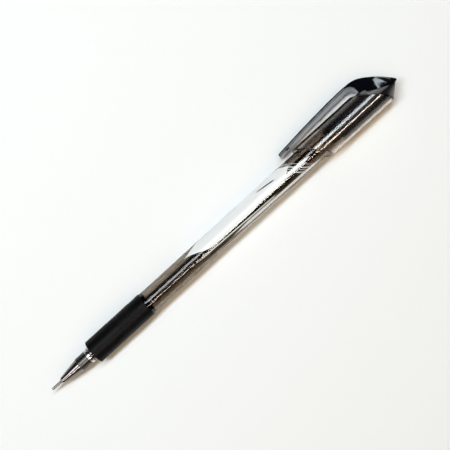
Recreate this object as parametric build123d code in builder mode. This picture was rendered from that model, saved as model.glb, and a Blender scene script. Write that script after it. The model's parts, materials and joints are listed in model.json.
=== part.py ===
from build123d import *
import os
from math import acos, asin, atan2, cos, degrees, hypot, sin

# A stick ballpoint pen that lies on a table with its cap posted on the tail. Millimetres.
# The pen's axis is the X axis: the writing ball touches x = 0 and the crown points to +X.
# Z is up, and the pocket clip lies on the table on the +Y side.

os.makedirs("parts", exist_ok=True)

# Clearances
seat_gap = 0.02           # radial gap of pieces that are pressed or glued together
slide_gap = 0.05          # radial running gap of pieces that slide or turn
thread_gap = 0.05         # radial gap around the crests of the thread
refill_play = 0.3         # free length behind the refill
post_play = 0.5           # free length between the tail and the bottom of the crown
seam_gap = 0.05           # gap at the root of the clip

# Writing point
ball_d = 0.7
ball_play = 0.02          # running gap around the ball
ball_show = 0.18          # how far the ball stands out of the needle
needle_d = 0.9
needle_lip_d = 0.76       # the needle is rolled in to this at its mouth
needle_taper = 0.6
needle_bore_d = 0.4
needle_length = 9.8
needle_show = 4.1         # from the ball's front to the nose cone

# Nose cone
nose_face_d = 1.3
nose_round_d = 2.1
nose_round_length = 0.45
cone_length = 8.0
cone_end_d = 4.55
edge_step = 0.1
neck_d = 4.75
neck_length = 4.0
bead_d = 5.2
bead_length = 1.0
bead_round = 0.2
thread_d = 4.4
thread_length = 6.0
thread_pitch = 1.0
thread_depth = 0.18
crest_foot = 0.8          # length of a thread ring where it meets the spigot
crest_top = 0.2

# Tip holder
holder_front_d = 2.3
holder_front_length = 4.5
holder_body_d = 3.0
barb_length = 5.4
barb_depth = 0.15
barb_groove = 0.54
ink_channel_d = 1.0

# Refill tube and ink
tube_d = 3.5
tube_wall = 0.45
follower_length = 2.5
empty_length = 2.5        # bare end of the tube behind the follower

# Barrel
collar_gap = 0.15
collar_d = 5.2
collar_length = 1.0
collar_round = 0.27
grip_seat_d = 6.2
barrel_d = 7.9
barrel_wall = 1.0
barrel_length = 110.7
bore_taper = 1.2

# Grip
grip_d = 8.4
grip_length = 23.55
grip_round = 0.3
groove_start = 9.9        # from the front of the grip to the first groove
groove_pitch = 1.15
groove_count = 11
groove_width = 0.45
groove_depth = 0.2
groove_sweep = 86         # degrees around the grip

# Tail plug
plug_depth = 6.2
flange_length = 1.5
post_step = 0.35          # from the flange in to the post
post_length = 10.5
plug_bore_d = 2.4
plug_end_wall = 1.8
vent_d = 0.8
post_chamfer = 0.6

# Cap
cap_wall = 0.65
sleeve_wall = 0.43        # the crown's inner sleeve, around the barrel
shell_length = 26.2       # along the axis, between the two slanted cuts
mouth_slope = 0.92        # length per millimetre across the cap
base_slope = 1.06
base_reach = 0.65         # from the bottom of the crown's bore to the shell's rear cut
sleeve_length = 17.3      # the crown's inner sleeve, in front of the shell's rear cut
sleeve_slope = 0.5
sleeve_step = 8.0         # depth of the sleeve's wide bore, from its front
mouth_round = 0.18
cut_room = 20             # spare length that the slanted cuts take away
point_length = 10.7       # from the shell's rear cut to the crown's tip
point_end_r = 0.45
tip_swell = 1.03          # how far the tip's ball stands out of the cone's end
point_drop = 0.6          # how far the point dips away from the clip

# Clip
clip_reach = 8.5          # from the shell's front cut forward to the clip's end
clip_thickness = 1.0
clip_width = 6.0
clip_end_width = 3.8
clip_taper_length = 24.0
clip_end_gap = 0.8        # from the cap to the inner face of the clip, at its end,
clip_mid_gap = 1.95       # half way,
clip_root_gap = 2.5       # and at its root
clip_corner = 0.6
clip_edge = 0.22
root_reach = 4.6          # from the shell's rear cut forward to the clip's root
root_length = 2.8         # the arch from the root down to the crown
arch_along = 0.7          # where the arch's middle point lies, as a share of its length
arch_down = 0.29          # and of its height
nub_length = 1.4
nub_foot = 0.7            # length of the nub's flat face
nub_width = 2.2
nub_place = 3.0           # from the clip's end to the nub
nub_gap = 0.25
ridge_corner = 0.3
ridge_fall = 1.75         # power of the curve along which the ridge falls to the tip
hull_reach = 1.5          # from the shell's rear cut to where the crown's flanks swell most
hull_r = 3.7              # and their radius there
ridge_end_r = 0.3         # radii and width of the ridge's end, inside the tip
ridge_end_width = 0.6
ridge_end_corner = 0.25
ridge_end_step = 0.3      # how far before the tip it ends
ridge_steps = 6

# Stations along the pen
ball_r = ball_d / 2
needle_end_x = ball_show + needle_length
nose_x = needle_show
cone_end_x = nose_x + cone_length
bead_x = cone_end_x + neck_length
spigot_x = bead_x + bead_length
spigot_end_x = spigot_x + thread_length
barrel_x = spigot_x + collar_gap
grip_x = barrel_x + collar_length
grip_end_x = grip_x + grip_length
barrel_end_x = barrel_x + barrel_length
flange_end_x = barrel_end_x + flange_length
post_end_x = flange_end_x + post_length
plug_x = barrel_end_x - plug_depth
holder_step_x = cone_end_x + slide_gap
holder_x = holder_step_x - holder_front_length
tube_x = spigot_end_x + slide_gap
tube_end_x = plug_x - refill_play
barb_end_x = tube_x + barb_length
follower_end_x = tube_end_x - empty_length
follower_x = follower_end_x - follower_length
cap_stop_x = post_end_x + post_play
base_x = cap_stop_x + base_reach
mouth_x = base_x - shell_length
sleeve_x = base_x - sleeve_length
apex_x = base_x + point_length
root_x = base_x - root_reach
arch_end_x = root_x + root_length
clip_end_x = mouth_x - clip_reach
clip_root_x = root_x - seam_gap

# Radii that the pieces share
barrel_r = barrel_d / 2
bore_r = barrel_r - barrel_wall
thread_r = thread_d / 2
front_bore_r = thread_r + thread_gap
tube_r = tube_d / 2
tube_bore_r = tube_r - tube_wall
post_r = barrel_r - post_step
sleeve_bore_r = barrel_r + slide_gap
sleeve_r = sleeve_bore_r + sleeve_wall
shell_bore_r = sleeve_r + seat_gap
cap_r = shell_bore_r + cap_wall
cap_d = cap_r * 2
clip_root_height = cap_r + clip_root_gap + clip_thickness

# The cap is turned until the clip's lower corner touches the table that the cap lies on
corner_reach = hypot(clip_root_height, clip_width / 2)
clip_roll = asin(cap_r / corner_reach) - atan2(clip_width / 2, clip_root_height)
to_clip = Vector(0, cos(clip_roll), -sin(clip_roll))
across_clip = Vector(0, sin(clip_roll), cos(clip_roll))

# Side view of the clip: local X along the pen, local Y out towards the clip
clip_side = Plane(origin=(0, 0, 0), x_dir=(1, 0, 0), z_dir=across_clip)
# The clip seen from outside: local X along the pen, local Y across the clip
clip_plan = Plane(origin=(0, 0, 0), x_dir=(1, 0, 0), z_dir=-to_clip)


def slant(x, slope):
    # a cutting plane that crosses the axis at x and leans forward on the clip's side
    return Plane(origin=(x, 0, 0), z_dir=Vector(1, 0, 0) + to_clip * slope)


# ---------------------------------------------------------------- writing point
with BuildPart() as writing_ball:
    with Locations((ball_r, 0, 0)):
        Sphere(ball_r)

with BuildPart() as needle_tube:
    with BuildSketch():
        with BuildLine():
            Polyline(
                (ball_show, 0),
                (ball_show, needle_lip_d / 2),
                (ball_show + needle_taper, needle_d / 2),
                (needle_end_x, needle_d / 2),
                (needle_end_x, 0),
                close=True,
            )
        make_face()
    revolve(axis=Axis.X)
    with BuildSketch():
        with BuildLine():
            Polyline(
                (ball_r, 0),
                (ball_r, needle_bore_d / 2),
                (needle_end_x, needle_bore_d / 2),
                (needle_end_x, 0),
                close=True,
            )
        make_face()
    revolve(axis=Axis.X, mode=Mode.SUBTRACT)
    with Locations((ball_r, 0, 0)):
        Sphere(ball_r + ball_play, mode=Mode.SUBTRACT)

# ---------------------------------------------------------------- nose cone
holder_front_r = holder_front_d / 2
nose_bore_r = holder_front_r + slide_gap
holder_body_r = holder_body_d / 2
thread_count = int((thread_length - thread_pitch) / thread_pitch)

with BuildPart() as nose_cone:
    with BuildSketch():
        with BuildLine():
            Polyline(
                (nose_x, needle_d / 2 + slide_gap),
                (nose_x, nose_face_d / 2),
                (nose_x + nose_round_length, nose_round_d / 2),
                (cone_end_x, cone_end_d / 2),
                (cone_end_x + edge_step, neck_d / 2),
                (bead_x, neck_d / 2),
                (bead_x, bead_d / 2),
                (spigot_x, bead_d / 2),
                (spigot_x, thread_r - thread_depth),
                (spigot_end_x, thread_r - thread_depth),
                (spigot_end_x, holder_body_r + slide_gap),
                (cone_end_x, holder_body_r + slide_gap),
                (cone_end_x, nose_bore_r),
                (holder_x - slide_gap, nose_bore_r),
                (holder_x - slide_gap, needle_d / 2 + slide_gap),
                close=True,
            )
        make_face()
    revolve(axis=Axis.X)
    bead_edges = nose_cone.edges().filter_by(GeomType.CIRCLE)
    bead_edges = bead_edges.filter_by(lambda edge: abs(edge.radius - bead_d / 2) < seat_gap)
    fillet(bead_edges, min(bead_round, (bead_d - neck_d) / 2 - seat_gap))
    # crests of the thread, as rings
    with BuildSketch():
        for turn in range(thread_count):
            crest_x = spigot_x + thread_pitch * (turn + 1)
            with BuildLine():
                Polyline(
                    (crest_x - crest_foot / 2, thread_r - thread_depth - seat_gap),
                    (crest_x - crest_top / 2, thread_r),
                    (crest_x + crest_top / 2, thread_r),
                    (crest_x + crest_foot / 2, thread_r - thread_depth - seat_gap),
                    close=True,
                )
            make_face()
    revolve(axis=Axis.X)

# ---------------------------------------------------------------- refill
barb_r = tube_bore_r - seat_gap
groove_front_x = tube_x + (barb_length - barb_groove) / 2
groove_back_x = groove_front_x + barb_groove

with BuildPart() as tip_holder:
    with BuildSketch():
        with BuildLine():
            Polyline(
                (holder_x, needle_d / 2 + seat_gap),
                (holder_x, holder_front_r),
                (holder_step_x, holder_front_r),
                (holder_step_x, holder_body_r),
                (tube_x, holder_body_r),
                (tube_x, barb_r),
                (groove_front_x, barb_r),
                (groove_front_x, barb_r - barb_depth),
                (groove_back_x, barb_r - barb_depth),
                (groove_back_x, barb_r),
                (barb_end_x, barb_r - barb_depth),
                (barb_end_x, ink_channel_d / 2),
                (needle_end_x + seat_gap, ink_channel_d / 2),
                (needle_end_x + seat_gap, needle_d / 2 + seat_gap),
                close=True,
            )
        make_face()
    revolve(axis=Axis.X)

with BuildPart() as ink_tube:
    with BuildSketch():
        with Locations(((tube_x + seat_gap + tube_end_x) / 2, tube_r - tube_wall / 2)):
            Rectangle(tube_end_x - tube_x - seat_gap, tube_wall)
    revolve(axis=Axis.X)

ink_r = tube_bore_r - seat_gap

with BuildPart() as ink_column:
    with BuildSketch():
        with BuildLine():
            Polyline(
                (needle_end_x + 2 * seat_gap, 0),
                (needle_end_x + 2 * seat_gap, ink_channel_d / 2 - seat_gap),
                (barb_end_x + seat_gap, ink_channel_d / 2 - seat_gap),
                (barb_end_x + seat_gap, ink_r),
                (follower_x, ink_r),
                (follower_x, 0),
                close=True,
            )
        make_face()
    revolve(axis=Axis.X)

with BuildPart() as ink_follower:
    with BuildSketch():
        with BuildLine():
            Polyline(
                (follower_x + seat_gap, 0),
                (follower_x + seat_gap, ink_r),
                (follower_end_x, ink_r),
                (follower_end_x - ink_r / 2, 0),
                close=True,
            )
        make_face()
    revolve(axis=Axis.X)

# ---------------------------------------------------------------- barrel
grip_seat_r = grip_seat_d / 2
bore_x = grip_end_x + seat_gap

with BuildPart() as barrel:
    with BuildSketch():
        with BuildLine():
            Polyline(
                (barrel_x, front_bore_r),
                (barrel_x, collar_d / 2),
                (grip_x - seat_gap, collar_d / 2),
                (grip_x - seat_gap, grip_seat_r),
                (grip_end_x + seat_gap, grip_seat_r),
                (grip_end_x + seat_gap, barrel_r),
                (barrel_end_x, barrel_r),
                (barrel_end_x, bore_r),
                (bore_x + bore_taper, bore_r),
                (bore_x, front_bore_r),
                close=True,
            )
        make_face()
    revolve(axis=Axis.X)
    collar_edges = barrel.edges().filter_by(GeomType.CIRCLE)
    collar_edges = collar_edges.filter_by(lambda edge: abs(edge.radius - collar_d / 2) < seat_gap)
    fillet(collar_edges.sort_by(Axis.X)[0], min(collar_round, collar_d / 2 - front_bore_r - seat_gap))

# ---------------------------------------------------------------- grip
grip_r = grip_d / 2
groove_side = Plane.XY.rotated((-degrees(clip_roll) - groove_sweep / 2, 0, 0))

with BuildPart() as grip_sleeve:
    with BuildSketch():
        with Locations(((grip_x + grip_end_x) / 2, (grip_r + grip_seat_r + seat_gap) / 2)):
            Rectangle(grip_length, grip_r - grip_seat_r - seat_gap)
    revolve(axis=Axis.X)
    rims = grip_sleeve.edges().filter_by(lambda edge: abs(edge.radius - grip_r) < seat_gap
                                         if edge.geom_type == GeomType.CIRCLE else False)
    fillet(rims, grip_round)
    # fine grooves under the fingertips, on the clip's side
    with BuildSketch(groove_side):
        for groove in range(groove_count):
            with Locations((grip_x + groove_start + groove_pitch * groove, grip_r)):
                Rectangle(groove_width, groove_depth * 2)
    revolve(axis=Axis.X, revolution_arc=groove_sweep, mode=Mode.SUBTRACT)

# ---------------------------------------------------------------- tail plug
plug_r = bore_r - seat_gap

with BuildPart() as tail_plug:
    with BuildSketch():
        with BuildLine():
            Polyline(
                (plug_x, plug_bore_d / 2),
                (plug_x, plug_r),
                (barrel_end_x + seat_gap, plug_r),
                (barrel_end_x + seat_gap, barrel_r),
                (flange_end_x, barrel_r),
                (flange_end_x, post_r),
                (post_end_x - post_chamfer, post_r),
                (post_end_x, post_r - post_chamfer),
                (post_end_x, vent_d / 2),
                (post_end_x - plug_end_wall, vent_d / 2),
                (post_end_x - plug_end_wall, plug_bore_d / 2),
                close=True,
            )
        make_face()
    revolve(axis=Axis.X)

# ---------------------------------------------------------------- cap
with BuildPart() as cap_shell:
    with BuildSketch():
        with Locations(((mouth_x + base_x) / 2, cap_r - cap_wall / 2)):
            Rectangle(shell_length + 2 * cut_room, cap_wall)
    revolve(axis=Axis.X)
    split(bisect_by=slant(mouth_x, mouth_slope), keep=Keep.TOP)
    split(bisect_by=slant(base_x - seat_gap, base_slope), keep=Keep.BOTTOM)
    mouth_edges = cap_shell.edges().filter_by(GeomType.ELLIPSE).sort_by(Axis.X)[:2]
    fillet(mouth_edges, mouth_round)

# The crown's ridge carries the clip on to the point. It is drawn through sections across the pen.
clip_half = clip_width / 2
hull_x = base_x + hull_reach
ridge_end_x = apex_x - ridge_end_step


def ridge_top(x):
    # level at the clip's root, then a falling curve that runs into the tip
    fall = max(0, (x - arch_end_x) / (apex_x - arch_end_x))
    return clip_root_height - (clip_root_height + point_drop - ridge_end_r) * fall ** ridge_fall


def ridge_body(x):
    # the flanks swell from the clip's half width and then run into the tip
    if x < hull_x:
        return clip_half + (hull_r - clip_half) * (x - root_x) / (hull_x - root_x)
    return hull_r + (ridge_end_r - hull_r) * (x - hull_x) / (ridge_end_x - hull_x)


def ridge_centre(x):
    # the middle of the body sinks to the tip, which dips away from the clip
    return -point_drop * max(0, (x - base_x) / point_length)


def ridge_section(x, body_r, top, flat, corner):
    # flank is the direction of the straight side that touches the ridge's corner and the round body
    section_origin = Vector(x, 0, 0) + to_clip * ridge_centre(x)
    section_plane = Plane(origin=section_origin, x_dir=-across_clip, z_dir=(1, 0, 0))
    side = flat / 2 - corner
    flank = atan2(side, top - corner) + acos((body_r - corner) / hypot(side, top - corner))
    body_point = (body_r * sin(flank), body_r * cos(flank))
    ridge_point = (side + corner * sin(flank), top - corner + corner * cos(flank))
    ridge_mid = (side + corner * sin(flank / 2), top - corner + corner * cos(flank / 2))
    with BuildSketch(section_plane) as section:
        with BuildLine():
            ThreePointArc(body_point, (0, -body_r), (-body_point[0], body_point[1]))
            Line((-body_point[0], body_point[1]), (-ridge_point[0], ridge_point[1]))
            ThreePointArc((-ridge_point[0], ridge_point[1]), (-ridge_mid[0], ridge_mid[1]), (-side, top))
            Line((-side, top), (side, top))
            ThreePointArc((side, top), ridge_mid, ridge_point)
            Line(ridge_point, body_point)
        make_face()
    return section.sketch


arch_height = clip_root_height - clip_thickness
ridge_sections = []
for step in range(ridge_steps + 1):
    share = step / ridge_steps
    section_x = root_x + (ridge_end_x - root_x) * share
    flat = clip_width + (ridge_end_width - clip_width) * share
    corner = ridge_corner + (ridge_end_corner - ridge_corner) * share
    section_r = ridge_body(section_x)
    section_top = ridge_top(section_x) - ridge_centre(section_x)
    ridge_sections.append(ridge_section(section_x, section_r, section_top, flat, corner))

with BuildPart() as cap_crown:
    loft(ridge_sections)
    # the space under the clip reaches in as far as the arch
    with BuildSketch(clip_side):
        with BuildLine():
            arch_mid = (root_x + root_length * arch_along, arch_height - clip_root_gap * arch_down)
            Line((root_x - root_length, arch_height), (root_x, arch_height))
            ThreePointArc((root_x, arch_height), arch_mid, (arch_end_x, cap_r))
            Line((arch_end_x, cap_r), (arch_end_x, 0))
            Line((arch_end_x, 0), (root_x - root_length, 0))
            Line((root_x - root_length, 0), (root_x - root_length, arch_height))
        make_face()
    extrude(amount=cap_d, both=True, mode=Mode.SUBTRACT)
    split(bisect_by=slant(base_x, base_slope), keep=Keep.TOP)

# round body, from the shell's rear cut straight to the tip
base_cut = slant(base_x, base_slope)
base_plane = Plane(origin=base_cut.origin, x_dir=-across_clip, z_dir=base_cut.z_dir)
tip_plane = Plane(
    origin=Vector(apex_x - point_end_r, 0, 0) - to_clip * point_drop, x_dir=-across_clip, z_dir=(1, 0, 0))

with BuildPart() as crown_point:
    with BuildSketch(base_plane):
        Ellipse(cap_r, cap_r * hypot(1, base_slope))
    with BuildSketch(tip_plane):
        Circle(point_end_r)
    loft()
    with Locations(tip_plane.location):
        Sphere(point_end_r * tip_swell)

with BuildPart() as crown_sleeve:
    with BuildSketch():
        with Locations(((sleeve_x + cap_stop_x) / 2, sleeve_r / 2)):
            Rectangle(cap_stop_x - sleeve_x + 2 * cut_room, sleeve_r)
    revolve(axis=Axis.X)
    split(bisect_by=slant(sleeve_x, sleeve_slope), keep=Keep.TOP)
    split(bisect_by=Plane.YZ.offset(cap_stop_x), keep=Keep.BOTTOM)

post_bore_r = post_r + slide_gap
sleeve_step_x = sleeve_x + sleeve_step

with BuildPart() as crown_bore:
    with BuildSketch():
        with BuildLine():
            Polyline(
                (sleeve_x - cut_room, 0),
                (sleeve_x - cut_room, sleeve_bore_r),
                (sleeve_step_x, sleeve_bore_r),
                (sleeve_step_x, post_bore_r),
                (cap_stop_x, post_bore_r),
                (cap_stop_x, 0),
                close=True,
            )
        make_face()
    revolve(axis=Axis.X)

cap_crown.part = cap_crown.part + crown_point.part + crown_sleeve.part - crown_bore.part

# ---------------------------------------------------------------- clip
clip_end_height = cap_r + clip_end_gap
clip_mid_height = cap_r + clip_mid_gap
mid_x = (clip_end_x + clip_root_x) / 2

with BuildPart() as pocket_clip:
    with BuildSketch(clip_side):
        with BuildLine():
            ThreePointArc((clip_end_x, clip_end_height), (mid_x, clip_mid_height), (clip_root_x, arch_height))
            Line((clip_root_x, arch_height), (clip_root_x, clip_root_height))
            ThreePointArc(
                (clip_root_x, clip_root_height),
                (mid_x, clip_mid_height + clip_thickness),
                (clip_end_x, clip_end_height + clip_thickness),
            )
            Line((clip_end_x, clip_end_height + clip_thickness), (clip_end_x, clip_end_height))
        make_face()
    extrude(amount=clip_half, both=True)
    # plan of the clip: parallel from the root, then drawn in to its end
    with BuildSketch(clip_plan):
        with BuildLine():
            Polyline(
                (clip_end_x, -clip_end_width / 2),
                (clip_end_x, clip_end_width / 2),
                (clip_end_x + clip_taper_length, clip_half),
                (root_x, clip_half),
                (root_x, -clip_half),
                (clip_end_x + clip_taper_length, -clip_half),
                close=True,
            )
        plan = make_face()
        fillet(plan.vertices().group_by(Axis.X)[0], clip_corner)
    extrude(amount=-2 * clip_root_height, mode=Mode.INTERSECT)
    long_edges = pocket_clip.edges().filter_by(lambda edge: edge.length > clip_width)
    fillet(long_edges, clip_edge)
    # nub that nearly touches the tip of the shell
    nub_x = clip_end_x + nub_place
    nub_low = cap_r + nub_gap
    nub_high = clip_end_height + clip_thickness / 2
    with BuildSketch(clip_side):
        with BuildLine():
            Polyline(
                (nub_x, nub_high),
                (nub_x + (nub_length - nub_foot) / 2, nub_low),
                (nub_x + (nub_length + nub_foot) / 2, nub_low),
                (nub_x + nub_length, nub_high),
                close=True,
            )
        make_face()
    extrude(amount=nub_width / 2, both=True)

pieces = {
    "writing_ball": writing_ball,
    "needle_tube": needle_tube,
    "nose_cone": nose_cone,
    "tip_holder": tip_holder,
    "ink_tube": ink_tube,
    "ink_column": ink_column,
    "ink_follower": ink_follower,
    "barrel": barrel,
    "grip_sleeve": grip_sleeve,
    "tail_plug": tail_plug,
    "cap_shell": cap_shell,
    "cap_crown": cap_crown,
    "pocket_clip": pocket_clip,
}
for name, piece in pieces.items():
    piece.part.label = name
    export_step(piece.part, f"parts/{name}.step")
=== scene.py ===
import json
import math

import bpy
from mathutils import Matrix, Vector

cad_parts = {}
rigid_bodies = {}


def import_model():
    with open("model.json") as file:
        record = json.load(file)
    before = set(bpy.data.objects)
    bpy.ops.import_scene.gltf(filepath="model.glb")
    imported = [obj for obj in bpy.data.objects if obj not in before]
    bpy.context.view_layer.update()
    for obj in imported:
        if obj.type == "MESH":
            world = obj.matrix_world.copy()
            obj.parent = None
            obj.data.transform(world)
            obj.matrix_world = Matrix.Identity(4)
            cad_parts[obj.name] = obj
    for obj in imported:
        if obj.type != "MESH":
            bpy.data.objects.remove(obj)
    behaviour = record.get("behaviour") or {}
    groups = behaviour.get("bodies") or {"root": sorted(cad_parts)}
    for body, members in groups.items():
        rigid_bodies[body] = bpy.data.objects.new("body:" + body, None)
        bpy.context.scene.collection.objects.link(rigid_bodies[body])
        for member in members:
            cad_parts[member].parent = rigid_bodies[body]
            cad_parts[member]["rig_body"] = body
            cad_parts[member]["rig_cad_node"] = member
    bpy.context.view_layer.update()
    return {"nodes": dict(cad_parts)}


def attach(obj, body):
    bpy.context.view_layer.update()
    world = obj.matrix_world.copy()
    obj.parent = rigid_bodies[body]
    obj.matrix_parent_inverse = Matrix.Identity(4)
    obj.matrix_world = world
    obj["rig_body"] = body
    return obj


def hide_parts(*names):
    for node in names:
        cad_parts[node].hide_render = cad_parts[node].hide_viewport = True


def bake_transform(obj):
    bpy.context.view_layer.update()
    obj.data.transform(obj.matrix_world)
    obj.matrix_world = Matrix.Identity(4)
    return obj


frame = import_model()
nodes = frame["nodes"]
mm = 0.001

# the way from the pen's axis out to its clip, which lies some degrees below the level
clipRoll = 14.8205
toClip = (0.0, math.cos(math.radians(clipRoll)), -math.sin(math.radians(clipRoll)))
baseSlope = 1.06             # the rear cut of the cap: its length for each mm out to the clip


class Wire:
    # a node's output that the usual operators work on, each adding a Math node
    def __init__(self, finish, socket):
        self.finish = finish
        self.socket = socket

    def math(self, operation, *others):
        values = dict(enumerate((self,) + others))
        return self.finish.add("ShaderNodeMath", {"operation": operation}, values)

    def output(self, name):
        return Wire(self.finish, self.socket.node.outputs[name])

    def ramp(self, low, high, first=0.0, last=1.0):
        # smooth step from first to last as the value goes from low to high
        sockets = {"Value": self, "From Min": low, "From Max": high, "To Min": first, "To Max": last}
        return self.finish.add("ShaderNodeMapRange", {"interpolation_type": "SMOOTHSTEP"}, sockets)

    def between(self, low, high, soft):
        return self.ramp(low - soft, low) * self.ramp(high, high + soft, 1.0, 0.0)

    def __add__(self, other):
        return self.math("ADD", other)

    def __sub__(self, other):
        return self.math("SUBTRACT", other)

    def __rsub__(self, other):
        return self.finish.add("ShaderNodeMath", {"operation": "SUBTRACT"}, {0: other, 1: self})

    def __mul__(self, other):
        return self.math("MULTIPLY", other)

    def __truediv__(self, other):
        return self.math("DIVIDE", other)


class Finish:
    # the nodes of one material or of the world
    def __init__(self, owner):
        self.owner = owner
        owner.use_nodes = True
        self.tree = owner.node_tree
        self.tree.nodes.clear()

    def add(self, kind, settings=None, sockets=None, out=0):
        node = self.tree.nodes.new(kind)
        for name, value in (settings or {}).items():
            setattr(node, name, value)
        for name, value in (sockets or {}).items():
            if isinstance(value, Wire):
                self.tree.links.new(value.socket, node.inputs[name])
            elif isinstance(value, (tuple, list)) and node.inputs[name].type == "RGBA":
                node.inputs[name].default_value = (*value, 1)
            else:
                node.inputs[name].default_value = value
        return Wire(self, node.outputs[out])

    def place(self):
        # object coordinates in millimetres
        metres = self.add("ShaderNodeTexCoord", out="Object")
        return self.add("ShaderNodeVectorMath", {"operation": "SCALE"}, {0: metres, "Scale": 1 / mm})

    def split(self, vector):
        x = self.add("ShaderNodeSeparateXYZ", None, {0: vector})
        return x, x.output("Y"), x.output("Z")

    def around(self, y, z):
        # the angle around the pen in degrees, from the top towards -Y
        return (y * -1).math("ARCTAN2", z) * (180 / math.pi)

    def along(self, vector, x, y, z):
        # the coordinates scaled apart, for marks that run along the pen or around it
        return self.add("ShaderNodeMapping", None, {"Vector": vector, "Scale": (x, y, z)})

    def noise(self, vector, scale, detail, rough=0.5):
        return self.add("ShaderNodeTexNoise", None,
                        {"Vector": vector, "Scale": scale, "Detail": detail, "Roughness": rough})

    def rings(self, place, scale, detail, rough):
        # turning marks: noise that changes along the pen only
        return self.noise(self.along(place, scale, 0, 0), 1.0, detail, rough)

    def blend(self, share, first, second):
        # two colours mixed by a share
        return self.add("ShaderNodeMix", {"data_type": "RGBA"}, {0: share, 6: first, 7: second}, out=2)

    def bump(self, height, distance):
        return self.add("ShaderNodeBump", None, {"Height": height, "Distance": distance * mm})

    def surface(self, sockets):
        return self.add("ShaderNodeBsdfPrincipled", None, sockets)

    def done(self, shader, body=None, kind="ShaderNodeOutputMaterial"):
        node = self.tree.nodes.new(kind)
        self.tree.links.new(shader.socket, node.inputs["Surface"])
        if body:
            self.tree.links.new(body.socket, node.inputs["Volume"])
        return self.owner


def newFinish(name):
    return Finish(bpy.data.materials.new(name))


def dress(node, material):
    slots = nodes[node].data.materials
    slots.clear()
    slots.append(material)


def smoke(finish, sizes):
    # light is lost along its way through the plastic, so thick edges look darker
    return finish.add("ShaderNodeVolumeAbsorption", None,
                      {"Color": sizes["smoke"], "Density": sizes["smokeDensity"]})


def letLampsThrough(finish, shader, tint):
    # rays from lamps pass with a tint, so that the light reaches what lies behind
    path = finish.add("ShaderNodeLightPath", out="Is Shadow Ray")
    clear = finish.add("ShaderNodeBsdfTransparent", None, {"Color": tint})
    return finish.add("ShaderNodeMixShader", None, {0: path, 1: shader, 2: clear})


# In the values below, a noise is its scale per mm, its detail and its roughness; edges are where a
# soft step begins and ends; a Rough value is what its pattern adds to the roughness; depths are in mm
ball = {
    "dark": (0.42, 0.42, 0.44),
    "light": (0.56, 0.56, 0.58),
    "smear": (6.0, 4),
    "rings": (2.0, 4, 0.7),
    "ringDepth": 0.0005,
    "rough": 0.08,
    "smearRough": 0.1,
}
needle = {
    "dark": (0.16, 0.145, 0.13),
    "light": (0.24, 0.22, 0.2),
    "smear": (2.5, 4),
    "rings": (5.0, 4, 0.7),
    "ringDepth": 0.001,
    "rough": 0.2,
    "smearRough": 0.12,
}


def polishedSteel(name, sizes):
    # turned metal: fine rings around the axis and a little smear in the polish
    finish = newFinish(name)
    place = finish.place()
    smear = finish.noise(place, *sizes["smear"])
    rings = finish.rings(place, *sizes["rings"])
    colour = finish.blend(smear, sizes["dark"], sizes["light"])
    rough = smear * sizes["smearRough"] + sizes["rough"]
    return finish.done(finish.surface({"Base Color": colour, "Metallic": 1.0, "Roughness": rough,
                                       "Normal": finish.bump(rings, sizes["ringDepth"])}))


nose = {
    "coneEnd": 12.1,         # mm along the pen
    "neckEnd": 16.05,
    "beadEnd": 17.1,
    "edge": 0.05,
    "cone": (0.2, 0.18, 0.172),
    "coneLight": (0.25, 0.225, 0.215),
    "neck": (0.05, 0.046, 0.044),
    "bead": (0.72, 0.69, 0.67),
    "thread": (0.12, 0.115, 0.11),
    "markPitch": 0.55,       # mm from one faint turning mark on the neck to the next
    "markEdges": (0.3, 0.5),
    "markShare": 0.35,
    "smear": (0.8, 5, 0.6),
    "rings": (6.0, 3, 0.6),
    "ringDepth": 0.0006,
    "rough": 0.17,
    "smearRough": 0.06,
    "turnedRough": 0.12,     # on the neck and on the thread
}


def noseChrome():
    finish = newFinish("noseChrome")
    place = finish.place()
    x = finish.split(place)[0]
    neck = x.between(nose["coneEnd"], nose["neckEnd"], nose["edge"])
    bead = x.between(nose["neckEnd"], nose["beadEnd"], nose["edge"])
    thread = x.ramp(nose["beadEnd"], nose["beadEnd"] + nose["edge"])
    smear = finish.noise(place, *nose["smear"])
    marks = ((x / nose["markPitch"]).math("FRACT") - 0.5).math("ABSOLUTE").ramp(*nose["markEdges"])
    colour = finish.blend(neck, finish.blend(smear, nose["cone"], nose["coneLight"]), nose["neck"])
    colour = finish.blend(neck * marks * nose["markShare"], colour, nose["bead"])
    colour = finish.blend(bead, colour, nose["bead"])
    colour = finish.blend(thread, colour, nose["thread"])
    rings = finish.rings(place, *nose["rings"])
    turned = neck * nose["turnedRough"] + thread * nose["turnedRough"]
    rough = smear * nose["smearRough"] + nose["rough"] + turned
    return finish.done(finish.surface({"Base Color": colour, "Metallic": 1.0, "Roughness": rough,
                                       "Normal": finish.bump(rings, nose["ringDepth"])}))


barrel = {
    "tint": (0.96, 0.96, 0.96),
    "lampTint": (0.95, 0.945, 0.935),
    "smoke": (0.34, 0.22, 0.08),
    "smokeDensity": 840.0,               # per metre
    "ior": 1.5,
    "rough": 0.02,
    "flowStretch": (0.05, 0.5, 0.5),     # scale per mm along the pen and across it
    "flow": (1.0, 3),
    "flowDepth": 0.003,
    "outside": (3.88, 3.9),              # mm from the axis: paint lies only further out than this
    "paint": (0.88, 0.885, 0.89),
    "paintShade": (0.7, 0.69, 0.67),
    "shadeShare": 0.4,
    "paintRough": 0.4,
    "paintCoat": 0.4,
    "coatRough": 0.08,
    "grain": (0.9, 5, 0.6),
    "grainDepth": 0.008,
}

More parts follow.
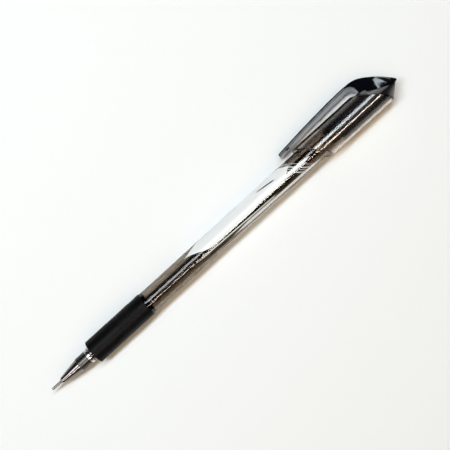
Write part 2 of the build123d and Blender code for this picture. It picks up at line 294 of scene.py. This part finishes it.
# the print: long tapering streaks. Each has its ends in mm along the pen, the angles around it
# of the two ends in degrees, from the top towards -Y, and half its width in degrees
design = {
    "white": (
        (60.0, 107.0, -40, -32, 50),
        (84.0, 114.0, -2, 2, 9),
        (60.0, 99.0, 17, 33, 3.2),
        (76.0, 117.0, 41, 55, 9),
        (66.0, 104.0, 66, 75, 5),
        (60.0, 112.0, 116, 131, 20),
        (55.0, 108.0, -122, -141, 17),
        (70.0, 114.0, 160, 168, 7),
    ),
    "clear": (
        (86.0, 116.0, 12, 22, 5),
        (92.0, 100.0, -46, -28, 4),
    ),
    "widens": (0.0, 0.24),               # shares of a streak's length in which it gets its width
    "tapers": (0.86, 1.0),               # and loses it
    "edge": 0.9,                         # degrees
    # short crossing strokes at the cap's mouth: mm along the pen at the top, and half the width in mm
    "strokes": ((105.4, 0.26), (106.7, 0.14), (107.8, 0.24), (109.4, 0.12)),
    "strokeSlope": 14.0,                 # degrees around the pen for each mm along it
    "strokeField": (-66, 58, 14),        # degrees: their ends, and how softly they fade
    "strokeEdge": 0.06,                  # mm
}


def streak(x, angle, ends):
    begin, end, first, last, half = ends
    run = (x - begin) / (end - begin)
    width = run.ramp(*design["widens"]) * run.ramp(*design["tapers"], 1.0, 0.0) * half
    off = (angle - first - run * (last - first)).math("ABSOLUTE")
    return (width - off).ramp(0.0, design["edge"])


def barrelPrint(finish, place):
    x, y, z = finish.split(place)
    angle = finish.around(y, z)
    outer = (y * y + z * z).math("SQRT").ramp(*barrel["outside"])
    cover = streak(x, angle, design["white"][0])
    for ends in design["clear"]:
        cover = cover * (1 - streak(x, angle, ends))
    for ends in design["white"][1:]:
        cover = cover.math("MAXIMUM", streak(x, angle, ends))
    near = angle.between(*design["strokeField"])
    for middle, half in design["strokes"]:
        off = (x - middle - angle / design["strokeSlope"]).math("ABSOLUTE")
        cover = cover.math("MAXIMUM", (near * half - off).ramp(0.0, design["strokeEdge"]))
    return cover * outer


def smokeClear():
    finish = newFinish("smokeClear")
    place = finish.place()
    mask = barrelPrint(finish, place)
    flow = finish.noise(finish.along(place, *barrel["flowStretch"]), *barrel["flow"])
    glass = finish.surface({"Base Color": barrel["tint"], "Roughness": barrel["rough"],
                            "IOR": barrel["ior"], "Transmission Weight": 1.0,
                            "Normal": finish.bump(flow, barrel["flowDepth"])})
    glass = letLampsThrough(finish, glass, barrel["lampTint"])
    grain = finish.noise(place, *barrel["grain"])
    colour = finish.blend(grain * barrel["shadeShare"], barrel["paint"], barrel["paintShade"])
    paint = finish.surface({"Base Color": colour, "Roughness": barrel["paintRough"],
                            "Coat Weight": barrel["paintCoat"], "Coat Roughness": barrel["coatRough"],
                            "Normal": finish.bump(grain, barrel["grainDepth"])})
    return finish.done(finish.add("ShaderNodeMixShader", None, {0: mask, 1: glass, 2: paint}),
                       smoke(finish, barrel))


cap = {
    "tint": (0.95, 0.95, 0.95),
    "lampTint": (0.97, 0.965, 0.96),
    "smoke": (0.64, 0.4, 0.2),
    "smokeDensity": 300.0,
    "ior": 1.58,
    "rough": 0.1,
    "scuffStretch": (0.25, 1, 1),
    "scuff": (0.5, 5, 0.65),
    "scuffEdges": (0.45, 0.8),
    "scuffRough": 0.06,
    "scuffDepth": 0.002,
    "mouthX": 114.9,         # mm: the slanted mouth crosses the axis here
    "mouthSlope": 0.92,
    "rimShade": (0.204, 0.34),    # mm from the mouth: a painted shade darkens the thick rounded rim, which looks darker
    "rimShadeTint": (0.1, 0.09, 0.08),
}


def capClear():
    finish = newFinish("capClear")
    place = finish.place()
    scuff = finish.noise(finish.along(place, *cap["scuffStretch"]), *cap["scuff"])
    rough = scuff.ramp(*cap["scuffEdges"]) * cap["scuffRough"] + cap["rough"]
    x, y, z = finish.split(place)
    height = y * toClip[1] + z * toClip[2]
    # painted shade: the clear colour darkens towards the slanted mouth, over the thick rounded rim
    rimShade = (x - cap["mouthX"] + height * cap["mouthSlope"]).ramp(*cap["rimShade"], 1.0, 0.0)
    colour = finish.blend(rimShade, cap["tint"], cap["rimShadeTint"])
    glass = finish.surface({"Base Color": colour, "Roughness": rough, "IOR": cap["ior"],
                            "Transmission Weight": 1.0, "Normal": finish.bump(scuff, cap["scuffDepth"])})
    return finish.done(letLampsThrough(finish, glass, cap["lampTint"]), smoke(finish, cap))


crown = {
    "base": (0.001, 0.0014, 0.0024),
    "tone": (0.0022, 0.0028, 0.0048),
    "ior": 1.58,
    "coat": 0.6,
    "coatRough": 0.04,
    "rough": 0.05,
    "smear": (0.35, 5, 0.62),
    "smearEdges": (0.4, 0.8),
    "smearRough": 0.1,
    "sink": (0.3, 1, 0.4),   # shallow unevenness of the moulding
    "sinkDepth": 0.05,
    "grain": (4.0, 2),
    "grainShare": 0.02,      # of the sink's depth
}


def crownPlastic():
    # glossy moulded plastic, near black with a blue cast, faintly smeared by handling
    finish = newFinish("crownPlastic")
    place = finish.place()
    smear = finish.noise(place, *crown["smear"])
    grain = finish.noise(place, *crown["grain"])
    sink = finish.noise(place, *crown["sink"])
    colour = finish.blend(smear, crown["base"], crown["tone"])
    rough = smear.ramp(*crown["smearEdges"]) * crown["smearRough"] + crown["rough"]
    height = sink + grain * crown["grainShare"]
    return finish.done(finish.surface({"Base Color": colour, "Roughness": rough, "IOR": crown["ior"],
                                       "Coat Weight": crown["coat"], "Coat Roughness": crown["coatRough"],
                                       "Normal": finish.bump(height, crown["sinkDepth"])}))


rubber = {
    "base": (0.0012, 0.0012, 0.0013),
    "dustTone": (0.004, 0.0039, 0.0038),
    "dust": (0.7, 5, 0.65),
    "dustEdges": (0.45, 0.75),
    "dustRough": 0.14,
    "rough": 0.36,
    "gloss": 0.09,
    "motif": (30.4, 39.0, 0.3),          # mm: slanted raised ribs in the rear half, and how they fade
    "motifAround": (-58, 52, 5),         # and degrees around the grip
    "ribPitch": 1.5,
    "ribSlope": 9.0,                     # degrees around the grip for each mm along it
    "ribEdges": (0.12, 0.24),
    "depth": 0.05,
    "grain": (9.0, 3, 0.7),
    "grainShare": 0.1,                   # of the ribs' depth
}


def gripRubber():
    finish = newFinish("gripRubber")
    place = finish.place()
    x, y, z = finish.split(place)
    angle = finish.around(y, z)
    grain = finish.noise(place, *rubber["grain"])
    dust = finish.noise(place, *rubber["dust"])
    ribs = ((x - angle / rubber["ribSlope"]) / rubber["ribPitch"]).math("FRACT")
    ribs = (ribs - 0.5).math("ABSOLUTE").ramp(*rubber["ribEdges"])
    field = x.between(*rubber["motif"]) * angle.between(*rubber["motifAround"])
    colour = finish.blend(dust.ramp(*rubber["dustEdges"]), rubber["base"], rubber["dustTone"])
    rough = dust * rubber["dustRough"] + rubber["rough"]
    height = grain * rubber["grainShare"] + ribs * field
    return finish.done(finish.surface({"Base Color": colour, "Roughness": rough,
                                       "Specular IOR Level": rubber["gloss"],
                                       "Normal": finish.bump(height, rubber["depth"])}))


tube = {
    "tint": (0.9, 0.9, 0.88),
    "lampTint": (0.8, 0.8, 0.79),
    "ior": 1.49,
    "rough": 0.05,
    "drawnStretch": (0.1, 3, 3),
    "drawn": (1.0, 3),
    "drawnRough": 0.06,
    "drawnDepth": 0.0004,
}


def milkyTube():
    finish = newFinish("refillTube")
    place = finish.place()
    drawn = finish.noise(finish.along(place, *tube["drawnStretch"]), *tube["drawn"])
    rough = drawn * tube["drawnRough"] + tube["rough"]
    glass = finish.surface({"Base Color": tube["tint"], "Roughness": rough, "IOR": tube["ior"],
                            "Transmission Weight": 1.0, "Normal": finish.bump(drawn, tube["drawnDepth"])})
    return finish.done(letLampsThrough(finish, glass, tube["lampTint"]))


# plain moulded plastics, the grease and the ink: two shades, clouded a little into each other
moulded = {
    "holderPlastic": {"low": (0.55, 0.54, 0.5), "high": (0.66, 0.65, 0.62),
                      "rough": 0.35, "cloudScale": 1.2, "gloss": 0.5},
    "followerGrease": {"low": (0.42, 0.4, 0.33), "high": (0.5, 0.48, 0.4),
                       "rough": 0.2, "cloudScale": 1.5, "gloss": 0.5},
    "plugPlastic": {"low": (0.008, 0.008, 0.01), "high": (0.014, 0.014, 0.017),
                    "rough": 0.22, "cloudScale": 0.8, "gloss": 0.5},
    "inkFill": {"low": (0.001, 0.001, 0.0015), "high": (0.003, 0.003, 0.004),
                "rough": 0.08, "cloudScale": 0.6, "gloss": 0.5},
    "sleevePlastic": {"low": (0.0015, 0.0018, 0.003), "high": (0.004, 0.0045, 0.006),
                      "rough": 0.3, "cloudScale": 0.6, "gloss": 0.15},
}
cloudNoise = (4, 0.6)        # detail and roughness
cloudRough = 0.12
cloudDepth = 0.004


def plainMoulded(name):
    sizes = moulded[name]
    finish = newFinish(name)
    cloud = finish.noise(finish.place(), sizes["cloudScale"], *cloudNoise)
    colour = finish.blend(cloud, sizes["low"], sizes["high"])
    rough = cloud * cloudRough + sizes["rough"]
    return finish.done(finish.surface({"Base Color": colour, "Roughness": rough,
                                       "Specular IOR Level": sizes["gloss"],
                                       "Normal": finish.bump(cloud, cloudDepth)}))


print("finishes")
dress("writing_ball", polishedSteel("ballCarbide", ball))
dress("needle_tube", polishedSteel("needleSteel", needle))
dress("nose_cone", noseChrome())
dress("tip_holder", plainMoulded("holderPlastic"))
dress("ink_tube", milkyTube())
dress("ink_follower", plainMoulded("followerGrease"))
dress("barrel", smokeClear())
dress("tail_plug", plainMoulded("plugPlastic"))
dress("cap_shell", capClear())
dress("grip_sleeve", gripRubber())


def nothingSelected():
    if bpy.context.object and bpy.context.object.mode == "EDIT":
        bpy.ops.mesh.select_all(action="DESELECT")
    else:
        bpy.ops.object.select_all(action="DESELECT")


def rod(name, radius, begin, end, sides=64, caps="NGON"):
    # a cylinder on the pen's axis, in mm
    nothingSelected()
    bpy.ops.mesh.primitive_cylinder_add(vertices=sides, radius=radius * mm, depth=(end - begin) * mm,
                                        end_fill_type=caps, location=((begin + end) / 2 * mm, 0, 0),
                                        rotation=(0, math.pi / 2, 0))
    piece = bpy.context.object
    piece.name = name
    bpy.ops.object.transform_apply(location=True, rotation=True, scale=True)
    return piece


def pickFaces(piece, wanted):
    # selects the faces that wanted(middle in mm, normal) says, in edit mode
    bpy.ops.object.mode_set(mode="EDIT")
    nothingSelected()
    bpy.ops.mesh.select_mode(type="FACE")
    bpy.ops.object.mode_set(mode="OBJECT")
    for face in piece.data.polygons:
        face.select = wanted(face.center / mm, face.normal)
    bpy.ops.object.mode_set(mode="EDIT")


def facesFront(middle, normal):
    return normal.x < -0.9


def facesRear(middle, normal):
    return normal.x > 0.9


def slideAlong(distance):
    bpy.ops.transform.translate(value=(distance * mm, 0, 0))


def applyModifier(piece, kind, **values):
    modifier = piece.modifiers.new(kind.lower(), kind)
    for name, value in values.items():
        setattr(modifier, name, value)
    bpy.ops.object.modifier_apply(modifier=modifier.name)


def finishPiece(piece, body, material, replaced, smooth=40):
    if bpy.context.object.mode == "EDIT":
        bpy.ops.object.mode_set(mode="OBJECT")
    bpy.ops.object.shade_smooth_by_angle(angle=math.radians(smooth))
    piece.data.materials.clear()
    piece.data.materials.append(material)
    if body:
        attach(piece, body)
    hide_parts(*replaced)


ink = {
    "radius": 1.33,          # mm: wets the bore of the tube
    "sides": 48,
    "begin": 28.58,
    "end": 116.4,
    "threadRadius": 0.47,    # the ink in the tip holder's channel
    "threadLength": 18.5,
    "meniscus": 0.35,        # its hollow goes in by ever smaller steps
    "meniscusSteps": 3,
    "meniscusInset": 0.28,   # share of the radius for each step
    "meniscusLead": 1.5,
}


def makeInk():
    piece = rod("inkFill", ink["radius"], ink["begin"], ink["end"], ink["sides"])
    pickFaces(piece, facesFront)
    bpy.ops.mesh.inset(thickness=(ink["radius"] - ink["threadRadius"]) * mm)
    bpy.ops.mesh.extrude_region_move(TRANSFORM_OT_translate={"value": (-ink["threadLength"] * mm, 0, 0)})
    pickFaces(piece, facesRear)
    for step in range(ink["meniscusSteps"]):
        bpy.ops.mesh.inset(thickness=ink["radius"] * ink["meniscusInset"] * mm)
        slideAlong(-ink["meniscus"] / (step + ink["meniscusLead"]))
    finishPiece(piece, "refill", plainMoulded("inkFill"), ["ink_column"])


sleeve = {
    "radius": 4.36,          # mm
    "wall": 0.36,
    "sides": 96,
    "begin": 110,            # the tube before its slanted cuts
    "end": 150,
    "frontX": 123.8,         # where its slanted ends cross the axis
    "frontSlope": 0.5,
    "rearX": 141.25,
    "edge": 0.07,
    "edgeSteps": 2,
    "edgeAngle": 50,         # degrees: sharper corners are rounded
}


def cutAway(x, slope, **side):
    # cuts on a slant that leans forward on the clip's side, and drops what lies on one side
    bpy.ops.mesh.select_all(action="SELECT")
    bpy.ops.mesh.bisect(plane_co=(x * mm, 0, 0), plane_no=(1.0, toClip[1] * slope, toClip[2] * slope), **side)


def makeSleeve(material):
    piece = rod("capSleeve", sleeve["radius"], sleeve["begin"], sleeve["end"], sleeve["sides"], "NOTHING")
    bpy.ops.object.mode_set(mode="EDIT")
    cutAway(sleeve["frontX"], sleeve["frontSlope"], clear_inner=True)
    cutAway(sleeve["rearX"], baseSlope, clear_outer=True)
    bpy.ops.object.mode_set(mode="OBJECT")
    applyModifier(piece, "SOLIDIFY", thickness=sleeve["wall"] * mm, offset=-1)
    applyModifier(piece, "BEVEL", width=sleeve["edge"] * mm, segments=sleeve["edgeSteps"],
                  angle_limit=math.radians(sleeve["edgeAngle"]))
    finishPiece(piece, "cap", material, ["cap_crown"])


tail = {
    "baseX": 141.1,          # mm: the slanted cut between the clear shell and the crown
    "coreRadius": 4.3,
    "coreFront": 123.0,
    "boreRadius": 4.62,      # the core's front lies within this radius
    "rootEdge": 0.05,
    "overlap": 0.4,          # the clip's root is drawn this far into the crown
    "voxel": 0.16,
    "smoothing": 5,
    "smoothShare": 0.5,
    "shadeAngle": 60,
    "weld": 0.001,
    "stays": (137.4, 8.6),   # along the pen and out towards the clip, in mm: a point on the crown
    "flexes": (135.64, 9.48),  # and a point where the clip leaves the crown
}


def copyOfNode(node):
    # a welded copy that is free of the node's body, and shown again if the node is hidden
    piece = nodes[node].copy()
    piece.data = nodes[node].data.copy()
    bpy.context.scene.collection.objects.link(piece)
    piece.parent = None
    piece.hide_render = piece.hide_viewport = False
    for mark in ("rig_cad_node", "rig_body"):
        if mark in piece:
            del piece[mark]
    nothingSelected()
    piece.select_set(True)
    bpy.context.view_layer.objects.active = piece
    bpy.ops.object.mode_set(mode="EDIT")
    bpy.ops.mesh.select_all(action="SELECT")
    bpy.ops.mesh.remove_doubles(threshold=tail["weld"] * mm)
    bpy.ops.object.mode_set(mode="OBJECT")
    return piece


def makeCrown(material):
    # the crown and its clip are one moulding: both solids and a core that fills the bore run together
    crownSolid = copyOfNode("cap_crown")
    clipSolid = copyOfNode("pocket_clip")
    rootX = max(vertex.co.x for vertex in clipSolid.data.vertices) / mm - tail["rootEdge"]
    pickFaces(clipSolid, lambda middle, normal: facesRear(middle, normal) and middle.x > rootX)
    slideAlong(tail["overlap"])
    bpy.ops.object.mode_set(mode="OBJECT")
    core = rod("core", tail["coreRadius"], tail["coreFront"], tail["baseX"])
    for part in (core, clipSolid, crownSolid):
        part.select_set(True)
    bpy.context.view_layer.objects.active = crownSolid
    bpy.ops.object.join()
    piece = crownSolid
    piece.name = "crownAndClip"
    applyModifier(piece, "REMESH", mode="VOXEL", voxel_size=tail["voxel"] * mm)
    applyModifier(piece, "SMOOTH", factor=tail["smoothShare"], iterations=tail["smoothing"])

    def inFront(middle, normal):
        # the core's front, back to the slanted face of the crown
        height = middle.y * toClip[1] + middle.z * toClip[2]
        inBore = math.hypot(middle.y, middle.z) < tail["boreRadius"]
        return inBore and middle.x + baseSlope * height < tail["baseX"]

    pickFaces(piece, inFront)
    bpy.ops.mesh.delete(type="FACE")
    bpy.ops.mesh.select_mode(type="EDGE")
    bpy.ops.mesh.select_non_manifold(extend=False, use_wire=False, use_boundary=True, use_multi_face=False,
                                     use_non_contiguous=False, use_verts=False)
    bpy.ops.mesh.fill_holes(sides=0)
    bpy.ops.object.mode_set(mode="OBJECT")
    finishPiece(piece, None, material, ["cap_crown", "pocket_clip"], tail["shadeAngle"])
    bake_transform(piece)
    print("crown and clip", len(piece.data.polygons), "faces")


print("pieces")
makeInk()
crownBlack = crownPlastic()
makeSleeve(plainMoulded("sleevePlastic"))
makeCrown(crownBlack)

studio = {
    "floorTouch": (18.3, -4.2),        # x and z in mm of the grip's contact, and the cap's
    "floorTouchEnd": (113.7, -5.1),
    "floorBelow": 0.005,               # mm of clearance
    "floorSize": 3.0,
    "floorColour": (0.93, 0.935, 0.94),
    "floorLight": (0.955, 0.96, 0.963),
    "floorRough": 0.7,
    "floorGloss": 0.2,
    "grain": (0.9, 4, 0.6),
    "grainDepth": 0.01,
}

# area lamps: where they stand and what they face in m, their length and width. Gloss and clear plastic
# show some, and others light the floor. The softbox is two in one for soft edges
lamps = {
    "softboxCore": {"place": (-0.05, 0.14, 0.7), "faces": (-0.05, 0, 0), "length": 1.0, "width": 0.12,
                    "watts": 1.4, "colour": (0.86, 0.94, 1.0), "inGloss": True},
    "softbox": {"place": (-0.05, 0.155, 0.7), "faces": (-0.05, 0, 0), "length": 1.0, "width": 0.29,
                "watts": 4.0, "colour": (0.86, 0.94, 1.0), "inGloss": True},
    "warmStrip": {"place": (-0.05, -0.355, 0.7), "faces": (-0.05, 0, 0), "length": 1.0, "width": 0.07,
                  "watts": 4.0, "colour": (1.0, 0.88, 0.76), "inGloss": True},
    "sideSoft": {"place": (0.0, 0.22, 0.65), "faces": (0.0, 0, 0), "length": 0.8, "width": 0.13,
                 "watts": 4.7, "colour": (0.81, 0.92, 1.0), "inGloss": False},
    "warmFill": {"place": (0.07, -0.12, 0.75), "faces": (0.07, 0, 0), "length": 1.6, "width": 1.4,
                 "watts": 4.5, "colour": (1.0, 0.78, 0.51), "inGloss": False},
    "endGlow": {"place": (0.853, 0.585, 0.25), "faces": (0.145, 0, 0), "length": 0.05, "width": 0.09,
                "watts": 0.075, "colour": (0.8, 0.92, 1.0), "inGloss": True},
}
sweep = {
    "bright": (1.1, 0.97, 0.84),       # the warm side, towards -Y
    "dim": (0.08, 0.08, 0.085),
    "sides": (-0.5, 0.5),              # the direction's y from the bright side to the dim one
    "overhead": (0.012, 0.012, 0.014),
    "rise": (0.04, 0.24),              # the direction's z from the sides to overhead
    "behind": (0.96, 0.965, 0.97),     # what the camera sees past the floor
}


def makeFloor():
    (x1, z1), (x2, z2) = studio["floorTouch"], studio["floorTouchEnd"]
    lean = math.atan2(z1 - z2, x2 - x1)
    nothingSelected()
    bpy.ops.mesh.primitive_plane_add(size=studio["floorSize"], rotation=(0, lean, 0),
                                     location=(x1 * mm, 0, (z1 - studio["floorBelow"]) * mm))
    floor = bpy.context.object
    floor.name = "floor"
    bpy.ops.object.transform_apply(location=True, rotation=True, scale=True)
    finish = newFinish("floorPaper")
    grain = finish.noise(finish.place(), *studio["grain"])
    colour = finish.blend(grain, studio["floorColour"], studio["floorLight"])
    paper = finish.surface({"Base Color": colour, "Roughness": studio["floorRough"],
                            "Specular IOR Level": studio["floorGloss"],
                            "Normal": finish.bump(grain, studio["grainDepth"])})
    floor.data.materials.append(finish.done(paper))


def makeLamp(name, place, faces, length, width, watts, colour, inGloss):
    turn = (Vector(faces) - Vector(place)).to_track_quat("-Z", "Y").to_euler()
    bpy.ops.object.light_add(type="AREA", location=place, rotation=turn)
    lamp = bpy.context.object
    lamp.name = name
    lamp.visible_glossy = lamp.visible_transmission = inGloss
    lamp.visible_diffuse = not inGloss
    lamp.data.shape = "RECTANGLE"
    lamp.data.size = length
    lamp.data.size_y = width
    lamp.data.energy = watts
    lamp.data.color = colour


def makeWorld():
    # a pale sweep all around, dark overhead
    world = bpy.data.worlds.new("studioWorld")
    bpy.context.scene.world = world
    finish = Finish(world)
    x, y, up = finish.split(finish.add("ShaderNodeTexCoord", out="Generated"))
    side = finish.blend(y.ramp(*sweep["sides"]), sweep["bright"], sweep["dim"])
    overhead = up.ramp(*sweep["rise"])
    colour = finish.blend(overhead, side, sweep["overhead"])
    path = finish.add("ShaderNodeLightPath", out="Is Camera Ray")
    through = path.output("Is Transmission Ray") * (1 - overhead)
    shown = finish.blend(path.math("MAXIMUM", through), colour, sweep["behind"])
    finish.done(finish.add("ShaderNodeBackground", None, {"Color": shown}), kind="ShaderNodeOutputWorld")


print("studio")
makeFloor()
for name, values in lamps.items():
    makeLamp(name, **values)
makeWorld()

camera = {
    "above": (78.07, 1.77, 301.0),     # mm
    "turn": -42.34,                    # degrees about the vertical
    "view": 27.5,                      # degrees across the frame
    "sensor": 36.0,
    "near": 0.01,
}
bpy.ops.object.camera_add(location=[value * mm for value in camera["above"]],
                          rotation=(0, 0, math.radians(camera["turn"])))
eye = bpy.context.object
eye.name = "camera"
eye.data.sensor_width = camera["sensor"]
eye.data.lens = camera["sensor"] / 2 / math.tan(math.radians(camera["view"] / 2))
eye.data.clip_start = camera["near"]
bpy.context.scene.camera = eye
bpy.context.scene.view_settings.view_transform = "Standard"

print("done")
